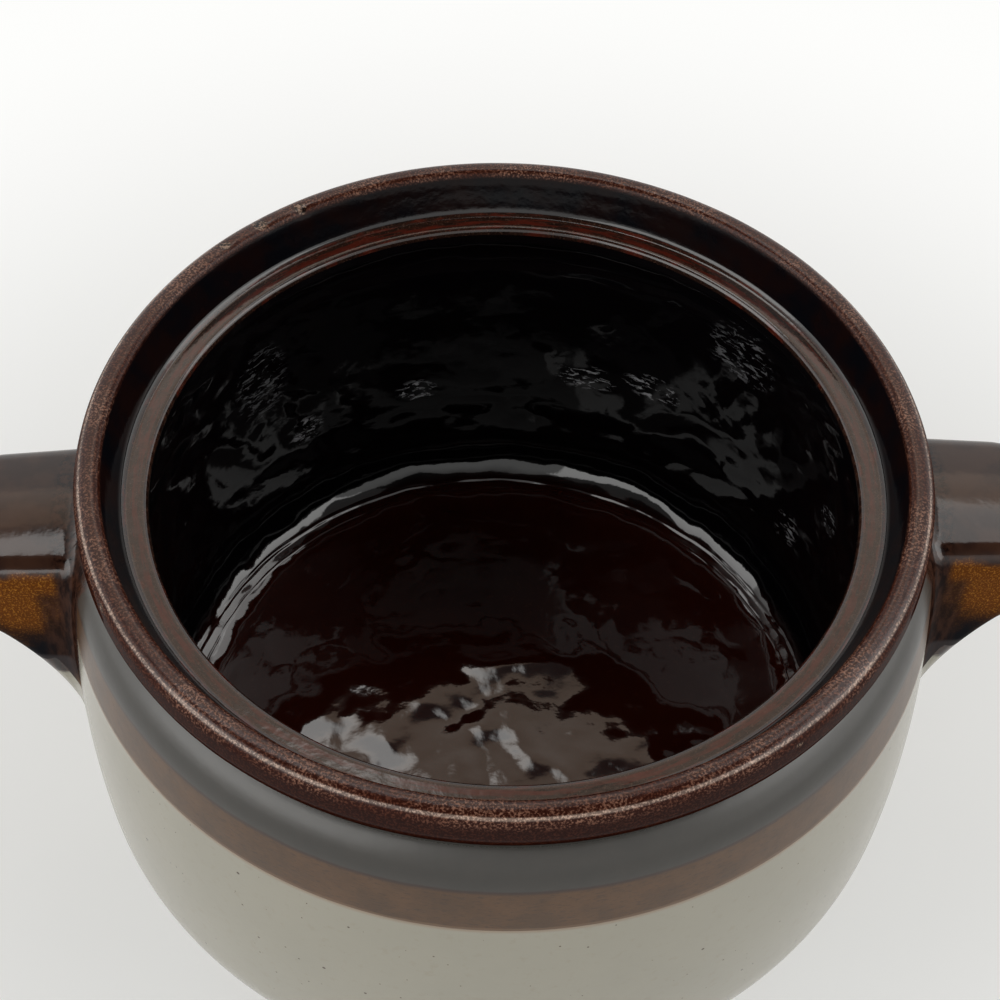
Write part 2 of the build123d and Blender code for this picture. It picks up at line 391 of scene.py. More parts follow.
def potters_wheel():
    tree = bpy.data.node_groups.new("potters_wheel", "GeometryNodeTree")
    for name, kind in WHEEL_INPUTS.items():
        tree.interface.new_socket(name, in_out="INPUT", socket_type="NodeSocket" + kind)
    tree.interface.new_socket("Turned Coat", in_out="OUTPUT", socket_type="NodeSocketGeometry")
    bench = Bench(tree)
    given = bench.node("NodeGroupInput")
    rows = bench.node("GeometryNodeAttributeDomainSize", {"component": "MESH"}, {"Geometry": given})
    columns = given.out("Segments") + 1
    unit = {"Size X": 1, "Size Y": 1, "Vertices X": columns, "Vertices Y": rows}
    grid = bench.node("GeometryNodeMeshGrid", None, unit)
    across, down, _ = bench.parts(bench.node("GeometryNodeInputPosition"))
    row = ((down + 0.5) * (rows - 1)).sum("ROUND")
    position = bench.node("GeometryNodeInputPosition")
    vector = {"data_type": "FLOAT_VECTOR"}
    arrow = bench.node("GeometryNodeInputNamedAttribute", vector, {"Name": "lift"})

    def turned(value):
        """A value of the section at this row, swung round the axis to this column."""
        at_row = {"Geometry": given, "Value": value, "Index": row}
        sampled = bench.node("GeometryNodeSampleIndex", {**vector, "domain": "POINT"}, at_row)
        swing = {"Vector": sampled, "Angle": (across + 0.5) * (2 * pi)}
        return bench.node("ShaderNodeVectorRotate", {"rotation_type": "Z_AXIS"}, swing)

    place = turned(position)
    seed = bench.vector(given.out("Seed"), given.out("Seed"), 0)
    ripple = {"Vector": bench.vectors("ADD", place, seed), "Scale": 1 / given.out("Ripple Size")}
    lumps = bench.node("ShaderNodeTexNoise", None, ripple)
    depth = lumps * given.out("Ripple Depth") + dented(bench, place)
    push = {"Geometry": grid, "Position": place, "Offset": bench.scaled(turned(arrow), 0 - depth)}
    shaped = bench.node("GeometryNodeSetPosition", None, push)
    welded = bench.node("GeometryNodeMergeByDistance", None, {"Geometry": shaped, "Distance": WELD})
    coat = {"Geometry": welded, "Material": given.out("Glaze")}
    glazed = bench.node("GeometryNodeSetMaterial", None, coat)
    real = bench.node("GeometryNodeRealizeInstances", None, {"Geometry": glazed})
    bench.node("NodeGroupOutput", None, {0: real})
    return tree


wheel = potters_wheel()
print("the wheel has", len(wheel.nodes), "nodes")

# %% [markdown]
# Throwing a coat on the wheel goes the same way each time: hang the tree on the section, set the
# inputs by their identifiers, take the result as a plain mesh, and turn its faces outwards. Edges that
# are sharper than a set angle stay crisp, and all else is shaded smooth. Each coat has its own seed,
# so that no two have the same ripples.

# %% Throw a coat
CRISP = radians(50)
SEEDS = {"liner_glaze": 1.7, "brown_glaze": 4.2, "white_glaze": 8.8}


def smooth_outwards(mesh):
    """Joins doubled points, turns the faces outwards and shades them smooth."""
    work = bmesh.new()
    work.from_mesh(mesh)
    bmesh.ops.remove_doubles(work, verts=work.verts, dist=WELD)
    bmesh.ops.recalc_face_normals(work, faces=work.faces)
    work.to_mesh(mesh)
    open_edges = sum(not edge.is_manifold for edge in work.edges)
    work.free()
    mesh.shade_smooth()
    mesh.set_sharp_from_angle(angle=CRISP)
    triangles = sum(len(face.vertices) - 2 for face in mesh.polygons)
    print(mesh.name, "has", triangles, "triangles and", open_edges, "open edges")


def throw(name, node, glaze, segments, ripple_size, ripple_depth, longest=LONGEST_STEP):
    """Turns the section of a coat into a piece that takes the place of that coat. Sizes are in mm."""
    blank = placed(name + "_blank", half_section(node, longest))
    turning = blank.modifiers.new("wheel", "NODES")
    turning.node_group = wheel
    values = {
        "Segments": segments,
        "Ripple Size": ripple_size * MM,
        "Ripple Depth": ripple_depth * MM,
        "Seed": SEEDS[node],
        "Glaze": glaze,
    }
    for item in wheel.interface.items_tree:
        if item.name in values:
            turning[item.identifier] = values[item.name]
    graph = bpy.context.evaluated_depsgraph_get()
    mesh = bpy.data.meshes.new_from_object(blank.evaluated_get(graph))
    mesh.name = name
    bpy.data.objects.remove(blank)
    smooth_outwards(mesh)
    piece = placed(name, mesh)
    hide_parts(node)
    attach(piece, "root")
    return piece


print("coats to throw:", ", ".join(SEEDS))

# %% [markdown]
# ## Colours as a maker reads them
#
# Colours are easier to judge as the 0 to 255 numbers of a picture, but a material wants the amount of
# light that the surface sends back. One small helper turns the first into the second. All the glazes
# then share one way of saying where on the pot a point is: its height and its distance from the axis.
# A handle that is a piece of its own so meets the wall without a change of colour.
#
# A fired glaze is not equally glossy all over. Each finish can say how matt it is at a place, and that
# share of a dull surface without any gloss is mixed in there.

# %% Colours and places
DISPLAY_LIMIT = 0.04045
DULL = {"Roughness": 0.8, "Specular IOR Level": 0.0}
GLASS_IOR = 1.5


def shade(red, green, blue):
    """A colour given as it looks on a screen, from 0 to 255, as amounts of light."""
    parts = [part / 255 for part in (red, green, blue)]
    light = [v / 12.92 if v <= DISPLAY_LIMIT else ((v + 0.055) / 1.055) ** 2.4 for v in parts]
    return (*light, 1)


class Spot(Bench):
    """The bench of a material, which also knows where on the pot the shaded point is."""

    def __init__(self, tree):
        super().__init__(tree)
        self.place = self.node("ShaderNodeTexCoord", None, None, "Object")
        self.x, self.y, self.height = self.parts(self.place)
        self.radius = (self.x * self.x + self.y * self.y) ** 0.5
        self.along = self.x.sum("ABSOLUTE")
        self.turn = self.x.sum("ARCTAN2", self.y)
        self.faces_up = self.parts(self.node("ShaderNodeNewGeometry", None, None, "Normal"))[2]

    def noise(self, size, detail=2.0, roughness=0.5, distortion=0.0, place=None):
        """Cloudy noise from 0 to 1, whose lumps are about size mm across."""
        inputs = {"Vector": place or self.place, "Scale": 1 / (size * MM), "Distortion": distortion}
        inputs |= {"Detail": detail, "Roughness": roughness}
        return self.node("ShaderNodeTexNoise", None, inputs)

    def drift(self, size, reach):
        """Noise that strays to both sides of zero, reach mm in all."""
        return (self.noise(size) - 0.5) * (reach * MM)

    def span(self, value, low, high):
        """A smooth step whose ends are in mm."""
        return self.step(value, low * MM, high * MM)

    def level(self, low, high):
        return self.span(self.height, low, high)

    def ring(self, low, high):
        return self.span(self.radius, low, high)


def finish_of(name, make):
    """A new material, whose looks come from a function of a spot. Part of it can be matt."""
    material = bpy.data.materials.new(name)
    material.use_nodes = True
    material.node_tree.nodes.clear()
    spot = Spot(material.node_tree)
    looks = make(spot)
    matt = looks.pop("Matt", None)
    shader = spot.node("ShaderNodeBsdfPrincipled", None, looks)
    if matt:
        dull = spot.node("ShaderNodeBsdfPrincipled", None, {"Base Color": looks["Base Color"], **DULL})
        shader = spot.node("ShaderNodeMixShader", None, {0: matt, 1: shader, 2: dull})
    spot.node("ShaderNodeOutputMaterial", None, {"Surface": shader})
    print(name, "has", len(material.node_tree.nodes), "nodes")
    return material


print("a middle grey of 128 sends back", round(shade(128, 128, 128)[0], 3), "of the light")

# %% [markdown]
# ## The skin of melted glass
#
# Fired glaze is never flat: it has the soft waves of orange peel, and finer ones where bubbles healed.
# Both are far too small to model, so they only tilt the light, through a Bump node.

# %% Ripple the gloss
PEEL_DEPTH = 0.2
PEEL_SIZE = 5
HEALED_BUBBLE = 1.6


def glaze_skin(spot, strength, extra=0.0, peel_share=1.0):
    """The orange-peel skin of melted glass, with extra height on it, in peel depths."""
    peel = spot.noise(HEALED_BUBBLE, 2.0) + spot.noise(PEEL_SIZE, 1.0) * 2.0
    bump = {"Strength": strength, "Distance": PEEL_DEPTH * MM, "Height": peel * peel_share + extra}
    return spot.node("ShaderNodeBump", None, bump)


print("waves of", PEEL_SIZE, "and", HEALED_BUBBLE, "mm,", PEEL_DEPTH, "mm deep")

# %% [markdown]
# ## Where the brown ran in the corner of a handle
#
# Round the root of each handle the brown glaze gathered in the corner and ran down the wall in a
# ragged point, over whatever glaze was there. The distance to the lug that shapes the handles can be
# written with shader maths too, a little more simply, and says how near any point of the wall is.
# The lug's measures are in millimetres here, and the handles themselves are made from them later.

# %% Find the corner
HANDLE_ROOT = 80.0
HANDLE_REACH = 116.0
HANDLE_HALF_WIDTH = 18.3
HANDLE_TAPER = 1.4
HANDLE_TOP = 97.1
HANDLE_DROP = 2.0
UNDERSIDE_SWEEP = 60.5
UNDERSIDE_CENTRE = (150.0, 34.0)


def from_lug(spot):
    """About how far a point of the wall is from the nearest lug."""
    along = (spot.along - HANDLE_ROOT * MM) / ((HANDLE_REACH - HANDLE_ROOT) * MM)
    side = spot.y.sum("ABSOLUTE") - (HANDLE_HALF_WIDTH * MM - along * (HANDLE_TAPER * MM))
    top = spot.height - (HANDLE_TOP * MM - along * (HANDLE_DROP * MM))
    ahead = spot.along - UNDERSIDE_CENTRE[0] * MM
    rise = spot.height - UNDERSIDE_CENTRE[1] * MM
    under = UNDERSIDE_SWEEP * MM - (ahead * ahead + rise * rise) ** 0.5
    return side.sum("MAXIMUM", top).sum("MAXIMUM", under)


def ran_down(spot):
    """1 where the brown glaze ran into the corner of a handle, in a ragged point."""
    rag = spot.noise(3.5, 3.0, 0.6) - 0.5
    near = spot.span(from_lug(spot) + rag * (1.6 * MM), 5.2, 4.6)
    return near * spot.span(spot.height + rag * (3 * MM), 60.5, 62.5)


def corner_brown(spot):
    """The brown in the corner, with upright streaks."""
    upright = spot.vector(spot.x * 4.0, spot.y * 4.0, spot.height)
    streak = spot.noise(5, 3.0, 0.6, place=upright)
    return spot.mix(spot.step(streak, 0.35, 0.65), shade(30, 17, 14), shade(66, 42, 32))


print("each lug is", 2 * HANDLE_HALF_WIDTH, "mm wide and reaches", HANDLE_REACH, "mm from the axis")

# %% [markdown]
# ## The brown slip glaze
#
# A slip glaze is a thin clay that melts to dark glass. Where it lies thick it is almost black and only
# its gloss shows; where it runs off an edge it is thin, and the clay shines through warm brown. On
# this pot it is thin in the band above the white and thick elsewhere, with a fine grain on the rim.
# Each part of the coat has a function of its own. The named levels and radii are in millimetres.

# %% Mix the brown of the band and the rim
SHOULDER_BREAK = 92.4
NECK = 101.0
LEDGE = 102.7
CROWN = crown_level / MM
UNDER_LEDGE = 98.5
LEDGE_MIDDLE = 74
RED_LINE = 73.6
CREVICE = 76.1
MOUTH = 81.0
NECK_RADIUS = 83.6
CROWN_CORNER = 83.8


def band_brown(spot):
    """The thin brown below the shoulder, with a pale ridge at its lower edge."""
    cloud = spot.step(spot.noise(6, 3.0, 0.6), 0.3, 0.7)
    flat = spot.vector(spot.x, spot.y, spot.height * 4.0)
    level_grain = spot.step(spot.noise(1.6, 3.0, 0.65, place=flat), 0.50, 0.70)
    level = spot.height + spot.drift(9, 0.5)
    ridge = spot.step(level, dip_line + 0.9 * MM, dip_line + 0.4 * MM)
    edge = spot.span(level, SHOULDER_BREAK - 1.3, SHOULDER_BREAK - 0.3)
    return spot.layers(
        spot.mix(cloud, shade(74, 48, 20), shade(88, 58, 27)),
        (level_grain * 0.6, shade(48, 30, 14)),
        (ridge * 0.55, shade(122, 96, 74)),
        (edge * 0.8, shade(38, 20, 18)),
    )


def rim_brown(spot, grain):
    """The rolled rim: a dark outer face, and a crown with light grain, partly painted sheen, and a
    painted highlight.
    """
    speckle = spot.step(grain, 0.46, 0.66)
    wear_and_sheen = spot.step(spot.noise(16, 2.0), 0.40, 0.62)
    side = spot.mix(speckle * 0.5, shade(40, 15, 10), shade(84, 44, 30))
    # The pale speckle of the crown is partly real grain and partly painted sheen.
    pale = spot.mix(wear_and_sheen, shade(96, 56, 42), shade(142, 102, 84))
    # A thin pale line along the outer corner of the crown is a painted highlight.
    highlight_line = spot.span((spot.radius - CROWN_CORNER * MM).sum("ABSOLUTE"), 0.38, 0.10)
    highlight_line = highlight_line * spot.level(CROWN - 3.5, CROWN - 2.7)
    return spot.layers(
        # Near black in the neck crease below the outer face is painted shade.
        shade(12, 5, 4),
        (spot.level(NECK + 0.5, NECK + 5), side),
        (spot.level(CROWN - 3.4, CROWN - 1.2), spot.mix(speckle, shade(50, 22, 15), pale)),
        (highlight_line * (0.10 + wear_and_sheen * 0.15 + speckle * 0.45), shade(235, 205, 185)),
    )


print("the brown band is", round(SHOULDER_BREAK - dip_line / MM, 1), "mm high")

# %% [markdown]
# Inside the rim is a recess, with the ledge that would carry a lid. Its wall is painted blue-black and
# the crevice at its foot black, both as painted shade, and the ledge is brown, in streaks that run round
# with the ring. The rim has had its knocks too: there the glaze is gone, and the stained clay shows.

# %% Mix the brown of the ledge and the knocks


def chip_brown(spot, body):
    """The knocks in the rim: the glaze is gone there, and the clay below is stained dark."""
    broken = spot.noise(0.9, 3.0, 0.7)
    bare = spot.mix(spot.step(broken, 0.45, 0.62), shade(22, 12, 9), shade(150, 122, 104))
    ragged = dented(spot, spot.place) + (broken - 0.5) * (0.25 * MM)
    return spot.mix(spot.span(ragged, 0.14, 0.22), body, bare)


def ledge_brown(spot):
    """The recess and the ledge: blue-black painted shade on the wall, brown with a little red on the
    ledge.
    """
    streak = spot.step(spot.noise(11, 3.0, 0.6), 0.35, 0.65)
    fine = spot.step(spot.noise(0.5, 2.0), 0.55, 0.7)
    round_x, round_y = (way / spot.radius * (LEDGE_MIDDLE * MM) for way in (spot.x, spot.y))
    on_ring = spot.vector(round_x, round_y, spot.radius * 7.0)
    along_ring = spot.noise(6, 3.0, 0.6, place=on_ring)
    red = spot.span((spot.radius - RED_LINE * MM).sum("ABSOLUTE"), 0.9, 0.4)
    ledge = spot.layers(
        spot.mix(spot.step(along_ring, 0.50, 0.66), shade(42, 26, 20), shade(78, 30, 20)),
        (spot.step(along_ring, 0.42, 0.30) * 0.7, shade(22, 13, 11)),
        (fine * 0.4, shade(96, 70, 56)),
        (red * spot.step(along_ring, 0.38, 0.52) * 0.6, shade(84, 28, 18)),
        # A black ring in the crevice at the foot of the recess wall is painted shade.
        (spot.ring(CREVICE, CREVICE + 0.4), shade(6, 4, 4)),
    )
    # The blue-black of the recess wall is painted shade.
    wall = spot.mix(streak, shade(9, 9, 13), shade(22, 10, 9))
    return spot.mix(spot.level(LEDGE + 1.2, LEDGE + 0.4), wall, ledge)


print("the ledge is", round(CROWN - LEDGE, 1), "mm below the crown")

# %% [markdown]
# The handles stand out of the pot, so the glaze ran off them as it melted. It stayed near black on
# their tops and thinned to amber with gold specks down their faces. Under each handle, near the root,
# the glaze is painted blue-black as painted shade.

# %% Mix the brown of the handles
WALL_ENDS = 90.5
TOP_SLOPE = 0.055


def handle_brown(spot, body):
    """The brown glaze on the handles: near black on top, amber with gold specks down the faces."""
    out = spot.span(from_lug(spot), 3.4, 1.4) * spot.ring(WALL_ENDS, WALL_ENDS + 2)
    drop = HANDLE_TOP * MM - spot.height - (spot.along - HANDLE_ROOT * MM) * TOP_SLOPE
    gold = spot.step(spot.noise(0.42, 3.0, 0.7), 0.48, 0.70)
    cloud = spot.step(spot.noise(7, 3.0), 0.38, 0.62)
    down = spot.span(drop + (cloud - 0.5) * (1.2 * MM), 2.9, 4.2)
    low = spot.span(drop + cloud * (3 * MM), 15, 23)
    # The blue-black under the handle, near its root, is painted shade.
    shade_under_root = spot.span(spot.along + cloud * (2 * MM), 103, 98)
    shade_under_root = shade_under_root * spot.span(spot.height + (cloud - 0.5) * (3 * MM), 76, 70)
    root = spot.span(spot.along, WALL_ENDS + 5, WALL_ENDS + 2) * spot.level(91, 87)
    rim = spot.step(spot.height, handle_line + 2.2 * MM, handle_line + 0.6 * MM)
    face = spot.layers(
        spot.mix(cloud, shade(52, 34, 28), shade(66, 44, 34)),
        (down, spot.mix(gold, shade(104, 56, 14), shade(176, 116, 40))),
        (low, spot.mix(gold, shade(46, 24, 12), shade(88, 54, 22))),
        (shade_under_root, shade(9, 10, 17)),
        (root * 0.8, corner_brown(spot)),
        (rim * 0.7, shade(70, 66, 68)),
    )
    return spot.mix(out, body, face)


print("the handles have their own brown more than", WALL_ENDS, "mm from the axis")

# %% [markdown]
# The finish lays these browns over each other like coats of paint. It is partly matt under the lip, in
# the neck and in the recess, which keeps those hollows as dark as they are on the pot, and on the worn
# crown. The faces of the handles are matt too, and their tops less so.

# %% Fire the brown glaze


def dull_places(spot):
    """How matt the brown is: under the lip, in neck and recess, down the handles, on the rim."""
    above_neck = spot.level(NECK - 0.9, NECK - 0.3)
    under_lip = spot.step(spot.faces_up, 0.15, -0.15) * spot.ring(MOUTH + 0.6, MOUTH + 1.4)
    in_neck = spot.level(NECK + 1.6, NECK + 0.4) * spot.ring(NECK_RADIUS + 1, NECK_RADIUS)
    lip = above_neck * under_lip.sum("MAXIMUM", in_neck * spot.ring(MOUTH, MOUTH + 0.3))
    recess = spot.level(LEDGE + 0.9, LEDGE + 1.9) * spot.ring(MOUTH + 0.4, MOUTH - 0.4)
    steep = 0.3 + spot.step(spot.faces_up, 0.78, 0.50) * 0.7
    handle = spot.span(from_lug(spot), 4.5, 1.5) * steep * spot.level(NECK - 0.3, NECK - 1.3)
    side = 0.45 + spot.step(spot.faces_up, 0.80, 0.60) * 0.40
    crown = above_neck * spot.ring(MOUTH, MOUTH + 0.6) * side
    return lip.sum("MAXIMUM", recess * 0.75).sum("MAXIMUM", handle * 0.9).sum("MAXIMUM", crown)


def brown_looks(spot):
    cloud = spot.noise(4, 4.0, 0.6)
    grain = spot.noise(0.45, 3.0, 0.6)
    level = spot.height + spot.drift(9, 0.6)
    # The grey base on the shoulder is painted sheen: it stands in for the room's reflection in the
    # thick, near-black glaze there.
    shoulder = spot.span(level, SHOULDER_BREAK - 0.3, SHOULDER_BREAK + 0.3)
    inside = spot.ring(MOUTH + 0.4, MOUTH - 0.1) * spot.level(UNDER_LEDGE, UNDER_LEDGE + 1)
    inside = inside * spot.level(CROWN - 0.7, CROWN - 1.7)
    body = spot.layers(
        band_brown(spot),
        (shoulder, spot.mix(cloud, shade(50, 48, 44), shade(62, 58, 53))),
        (spot.level(NECK - 0.9, NECK - 0.1), rim_brown(spot, grain)),
        (inside, ledge_brown(spot)),
        (ran_down(spot), corner_brown(spot)),
    )
    on_crown = spot.level(CROWN - 2.5, CROWN - 1)
    on_shoulder = spot.level(NECK, NECK - 1.5) * spot.span(from_lug(spot), 2.0, 4.5)
    return {
        "Base Color": handle_brown(spot, chip_brown(spot, body)),
        "Roughness": 0.06 + grain * 0.08 + on_crown * 0.08 + on_shoulder * 0.22,
        "IOR": GLASS_IOR,
        "Normal": glaze_skin(spot, 0.10, grain * on_crown * 2.0),
        "Matt": dull_places(spot),
    }


brown_finish = finish_of("brown_slip_finish", brown_looks)

# %% [markdown]
# ## The dark liner
#
# The inside was filled with glaze and poured out again. It lies thickest there, and is deep red-brown
# on the floor, where light goes far into it. The wall above is painted almost black, as painted shade.
# It set in waves, with a raised ring round the floor where the last of it stood, and the pale strokes on
# the wall are painted reflections of the windows.
#
# A ring is given by its radius, half its width and its height. A painted reflection is given by its
# degrees round from the back, its level, half its width, half its height and its strength.

# %% Mix the liner
FLOOR_RINGS = [(74.4, 0.7, 3.0), (72.0, 0.4, 1.6)]
PAINTED_REFLECTIONS = [
    (-12.5, 38, 6.0, 4.5, 1.0),
    (17.0, 44, 9.0, 5.0, 1.0),
    (29.0, 47, 9.0, 5.0, 1.0),
    (-41.0, 62, 9.0, 15.0, 0.25),
    (-33.0, 37, 6.0, 5.0, 0.8),
    (45.0, 74, 12.0, 11.0, 0.3),
    (60.0, 31, 5.0, 6.0, 0.5),
    (69.0, 48, 4.0, 5.0, 0.5),
]
WALL_RADIUS = 83.5
DEEP_LEVEL = 8.8
WALL_LEVEL = 13.5


def liner_waves(spot):
    """Waves in the poured glaze, and the rings round the floor, in peel depths."""
    wave = spot.noise(24, 1.0, 0.5, 0.6) * 22.0 + spot.noise(11, 1.0) * 8.0 + spot.noise(4.5, 1.0) * 0.8
    for radius, half_width, height in FLOOR_RINGS:
        broken = spot.step(spot.noise(13), 0.35, 0.55)
        off = (spot.radius + spot.drift(18, 1.4) - radius * MM).sum("ABSOLUTE")
        wave = wave + spot.step(off, half_width * MM, 0) * (0.4 + broken * 0.6) * height
    return wave


def painted_reflections(spot):
    """Where pale reflections of the windows are painted: patches of short level strokes on the wall."""
    flat = spot.vector(spot.x, spot.y, spot.height * 2.6)
    strokes = spot.noise(3.2, 4.0, 0.65, 0.8, flat)
    reflection_share = spot.number(0)
    for turn, level, half_width, half_height, strength in PAINTED_REFLECTIONS:
        aside = (spot.turn - radians(turn)) * (WALL_RADIUS / half_width)
        above = (spot.height - level * MM) / (half_height * MM)
        near = spot.step((aside * aside + above * above) ** 0.5, 1.0, 0.5)
        reflection_share = reflection_share.sum("MAXIMUM", near * strength)
    return reflection_share * spot.step(strokes, 0.53, 0.62)


def liner_looks(spot):
    cloud = spot.noise(12, 3.0)
    fine = spot.step(spot.noise(1.2, 3.0), 0.60, 0.75)
    reflection_share = painted_reflections(spot)
    body = spot.layers(
        spot.mix(cloud, shade(50, 13, 7), shade(66, 22, 10)),
        (fine * 0.25, shade(92, 42, 22)),
        # Above the floor the wall is painted near black: painted shade of the deep inside.
        (spot.level(DEEP_LEVEL, WALL_LEVEL), spot.mix(cloud, shade(4, 5, 8), shade(10, 7, 8))),
        # The pale grey strokes are painted reflections of the windows.
        (reflection_share * 0.8, shade(214, 214, 218)),
    )
    skin = glaze_skin(spot, 0.30, liner_waves(spot), 0.2)
    return {"Base Color": body, "Roughness": 0.05 + reflection_share * 0.3, "IOR": GLASS_IOR, "Normal": skin}


liner_finish = finish_of("liner_finish", liner_looks)

# %% [markdown]
# ## The white glaze
#
# The white is a thin opaque glaze over an iron-bearing clay. Grains of iron melt through it as small
# brown specks, and it is warmer just under the brown band, where a little of the brown has run in.

# %% Mix the white glaze


def iron_specks(spot, spacing, share):
    """Round specks of iron: one in some of the cells of a Voronoi pattern, each of its own size."""
    cells = spot.node("ShaderNodeTexVoronoi", None, {"Vector": spot.place, "Scale": 1 / (spacing * MM)})
    fate = spot.node("ShaderNodeSeparateColor", None, {0: cells.out("Color")})
    size = 0.05 + fate.out("Green") * 0.12
    return spot.step(size - cells, 0.0, 0.04) * spot.step(fate, 1 - share, 1.02 - share)


def white_looks(spot):
    cloud, mottle = spot.noise(18, 3.0), spot.noise(2.2, 3.0, 0.6)
    specks = iron_specks(spot, 2.6, 0.20).sum("MAXIMUM", iron_specks(spot, 1.3, 0.12))
    under_band = spot.step(spot.height, dip_line - 1.2 * MM, dip_line - 0.2 * MM)
    body = spot.layers(
        spot.mix(cloud, shade(160, 156, 142), shade(168, 163, 148)),
        (spot.step(mottle, 0.55, 0.75) * 0.25, shade(150, 140, 122)),
        (specks * 0.85, shade(66, 44, 31)),
        (under_band * 0.6, shade(150, 122, 98)),
        (ran_down(spot), corner_brown(spot)),
    )
    return {"Base Color": body, "Roughness": 0.20, "IOR": GLASS_IOR, "Normal": glaze_skin(spot, 0.08)}


white_finish = finish_of("white_glaze_finish", white_looks)

# %% [markdown]
# ## Bare stoneware
#
# Only the foot shows clay, where the glaze was wiped off so that the pot would not stick to the kiln
# shelf. It is a toasted buff with sandy grains, rough to the touch.

# %% Mix the clay and put it on the clay nodes


def clay_looks(spot):
    sand, toast = spot.noise(0.5, 4.0, 0.7), spot.noise(14, 3.0)
    body = spot.layers(
        spot.mix(toast, shade(196, 172, 138), shade(178, 148, 112)),
        (spot.step(sand, 0.58, 0.70) * 0.5, shade(120, 92, 66)),
    )
    rough = {"Strength": 0.5, "Distance": 0.15 * MM, "Height": sand}
    return {"Base Color": body, "Roughness": 0.85, "Normal": spot.node("ShaderNodeBump", None, rough)}


clay_finish = finish_of("bare_clay_finish", clay_looks)
CLAY_NODES = ["pot_body"]
for side in ("left", "right"):
    CLAY_NODES += [side + "_handle", side + "_handle_luting_slip"]
for node in CLAY_NODES:
    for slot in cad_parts[node].material_slots:
        slot.material = clay_finish
print("clay on", len(CLAY_NODES), "nodes")

# %% [markdown]
# ## Three coats from one wheel
#
# Now the wheel turns, and throws the liner, the brown coat and the white coat, each from its own
# section and with its own glaze. The brown coat has the tightest curves, so it has the shortest steps.

# %% Throw the three coats
fired_liner = throw("fired_liner", "liner_glaze", liner_finish, 280, 22, 0.10, 1.3)
fired_brown_coat = throw("fired_brown_coat", "brown_glaze", brown_finish, 360, 20, 0.12, 0.5)
fired_white_coat = throw("fired_white_coat", "white_glaze", white_finish, 420, 20, 0.10)

# %% [markdown]
# ## The lug handles
#
# Each handle is a solid lug of pressed clay, stuck on with slip, and the joint was smoothed over with a
# wet finger. A shape like that is easy to say as a distance: how far is a point from the surface? The
# lug is where four distances are all negative: to its sides, to its tip, to its arched top and to its
# hollow underside. Rounding an edge and smoothing a corner are then one formula each, and the result
# has no seams between its faces. These few lines work in millimetres.

# %% The handle as a distance
HANDLE_END_ROUND = 13.0
HANDLE_CROWN = 60.5
CROWN_AXIS_LEVEL = 36.6
TOP_RUN = 35.5
HANDLE_FALL = atan(HANDLE_DROP / TOP_RUN)
TOP_EDGE = 6.5
LOW_EDGE = 3.7
SMOOTHED_CORNER = 3.5
HANDLE_HEEL = 38.5
CORNER_GROWS = 9.0
LEAST_CORNER = 0.02
LOOKS_OUT = 0.4
PROBE = 0.01
MOST_ALIKE = 0.97


def rounded(a, b, meeting, radius):
    """Inside both shapes, with the edge rounded. Meeting is the cosine between the ways they face."""
    a, b = a + radius, b + radius
    at_edge = (a > meeting * b) & (b > meeting * a)
    apart = np.maximum(a * a + b * b - 2 * a * b * meeting, 0)
    return np.where(at_edge, np.sqrt(apart / (1 - meeting**2)), np.maximum(a, b)) - radius


def outer_wall():
    """Heights and radii of the glazed wall outside, up to the neck, in mm."""
    wall = []
    for node in ("white_glaze", "brown_glaze"):
        section = half_section(node)
        for point, arrow in zip(section.vertices, section.attributes["lift"].data):
            if arrow.vector.x > LOOKS_OUT and point.co.z < NECK * MM - GLAZE_DEPTH:
                wall.append((point.co.z / MM, point.co.x / MM))
    return np.array(sorted(wall)).T


wall_levels, wall_radii = outer_wall()


def top_level(x, y):
    """Height of the arched top, which falls a little outwards."""
    rise = np.sqrt(HANDLE_CROWN**2 - y**2) - (x - HANDLE_ROOT) * sin(HANDLE_FALL)
    return CROWN_AXIS_LEVEL + rise / cos(HANDLE_FALL)


def lug_distance(x, y, z):
    """How far points are from the right lug, which is drawn on into the wall."""
    along = (x - HANDLE_ROOT) / (HANDLE_REACH - HANDLE_ROOT)
    side = np.abs(y) - (HANDLE_HALF_WIDTH - HANDLE_TAPER * along)
    plan = rounded(side, x - HANDLE_REACH, 0.0, HANDLE_END_ROUND)
    facing_x = np.maximum(x - HANDLE_REACH + HANDLE_END_ROUND, 0)
    facing_y = np.maximum(side + HANDLE_END_ROUND, 0)
    facing = np.maximum(np.hypot(facing_x, facing_y), PROBE)
    rise = (z - CROWN_AXIS_LEVEL) * cos(HANDLE_FALL) + (x - HANDLE_ROOT) * sin(HANDLE_FALL)
    top = np.hypot(y, rise) - HANDLE_CROWN
    ahead = UNDERSIDE_CENTRE[0] - x
    under = UNDERSIDE_SWEEP - np.hypot(ahead, z - UNDERSIDE_CENTRE[1])
    at_top = (facing_y * np.abs(y) / HANDLE_CROWN + facing_x * sin(HANDLE_FALL)) / facing
    below = facing_x / facing * ahead / UNDERSIDE_SWEEP
    body = np.maximum(rounded(plan, top, at_top, TOP_EDGE), rounded(plan, under, below, LOW_EDGE))
    return np.maximum(body, HANDLE_HEEL - z)


def wall_radius(z):
    return np.interp(z, wall_levels, wall_radii)


def wall_distance(x, y, z):
    slope = (wall_radius(z + 1) - wall_radius(z - 1)) / 2
    return (np.hypot(x, y) - wall_radius(z)) / np.hypot(1, slope)


def growth(distance, points, probe):
    """How a distance grows at points: one arrow for each."""
    ways = []
    for axis in range(3):
        nudge = np.zeros((3, *[1] * (points.ndim - 1)))
        nudge[axis] = probe
        ways.append(distance(*(points + nudge)) - distance(*(points - nudge)))
    return np.array(ways) / (2 * probe)


